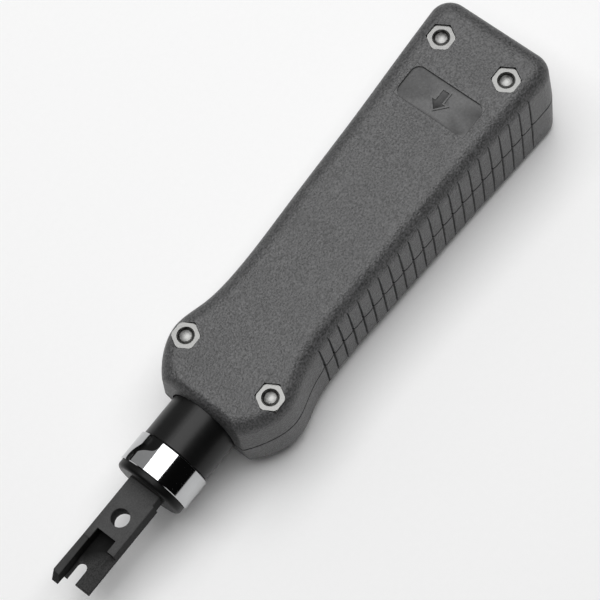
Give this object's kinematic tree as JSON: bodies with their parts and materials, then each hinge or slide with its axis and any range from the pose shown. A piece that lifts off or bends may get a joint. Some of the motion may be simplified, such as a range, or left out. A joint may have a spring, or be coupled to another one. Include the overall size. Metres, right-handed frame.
{
  "type": "punch down tool",
  "caption": "Impact punch down tool: waisted two-shell grip with ribbed sides, sliding round plunger with a turning spring band, and a forked blade with a cutting wing.",
  "frame": {"origin": "under the middle of the tool, level with the rear end of its sloping back", "axes": "+X from the blade to the rear of the handle, +Y across the handle, +Z out of the face with the nuts"},
  "size_m": [0.1868, 0.0398, 0.0366],
  "materials": {
    "grip": "fine spark-eroded grain, mid grey",
    "zinc": "bright zinc plate",
    "acetal": "natural acetal",
    "rubber": "matt",
    "steel": "turned and ground",
    "spring": "drawn spring wire",
    "black_tube": "satin black",
    "black_core": "black, smooth",
    "chrome_band": "mirror polished",
    "blade_steel": "black oxide, fine matt"
  },
  "bodies": {
    "handle": {"upper_shell": "grip", "lower_shell": "grip", "cover_screws": "zinc", "cover_nuts": "zinc", "front_bush": "acetal", "rear_bush": "acetal", "bumper_washer": "rubber", "barrel": "steel", "divider_washer": "steel", "spring_seat": "steel", "trip_wedge": "steel", "main_spring": "spring", "return_spring": "spring"},
    "plunger": {"plunger_tube": "black_tube", "nose_core": "black_core", "cross_pin": "steel", "stem": "steel", "stop_ring": "spring", "detent_pin": "steel", "blade": "blade_steel"},
    "band": {"lock_band": "chrome_band"},
    "hammer": {"hammer": "steel", "sear_spring": "spring"},
    "sear": {"sear": "steel"}
  },
  "joints": [
    {"name": "plunger_slide", "type": "slide", "parent": "handle", "child": "plunger", "axis": [1, 0, 0], "range_m": [0, 0.01], "stiffness_N_per_m": 300, "springref_m": -0.02, "deforming": ["return_spring"]},
    {"name": "band_turn", "type": "hinge", "parent": "plunger", "child": "band", "pos_m": [-0.05355, 0, 0.01835], "axis": [1, 0, 0], "range_deg": [0, 22]},
    {"name": "hammer_slide", "type": "slide", "parent": "handle", "child": "hammer", "axis": [1, 0, 0], "range_m": [0, 0.01], "stiffness_N_per_m": 3500, "springref_m": -0.01, "deforming": ["main_spring"]},
    {"name": "sear_lift", "type": "slide", "parent": "hammer", "child": "sear", "axis": [0, 0, 1], "range_m": [0, 0.0012], "stiffness_N_per_m": 400, "springref_m": -0.001, "deforming": ["sear_spring"]}
  ],
  "couplings": [
    {"joint": "hammer_slide", "follows": "plunger_slide", "ratio": 1},
    {"joint": "sear_lift", "follows": "plunger_slide", "ratio": 0.12}
  ]
}
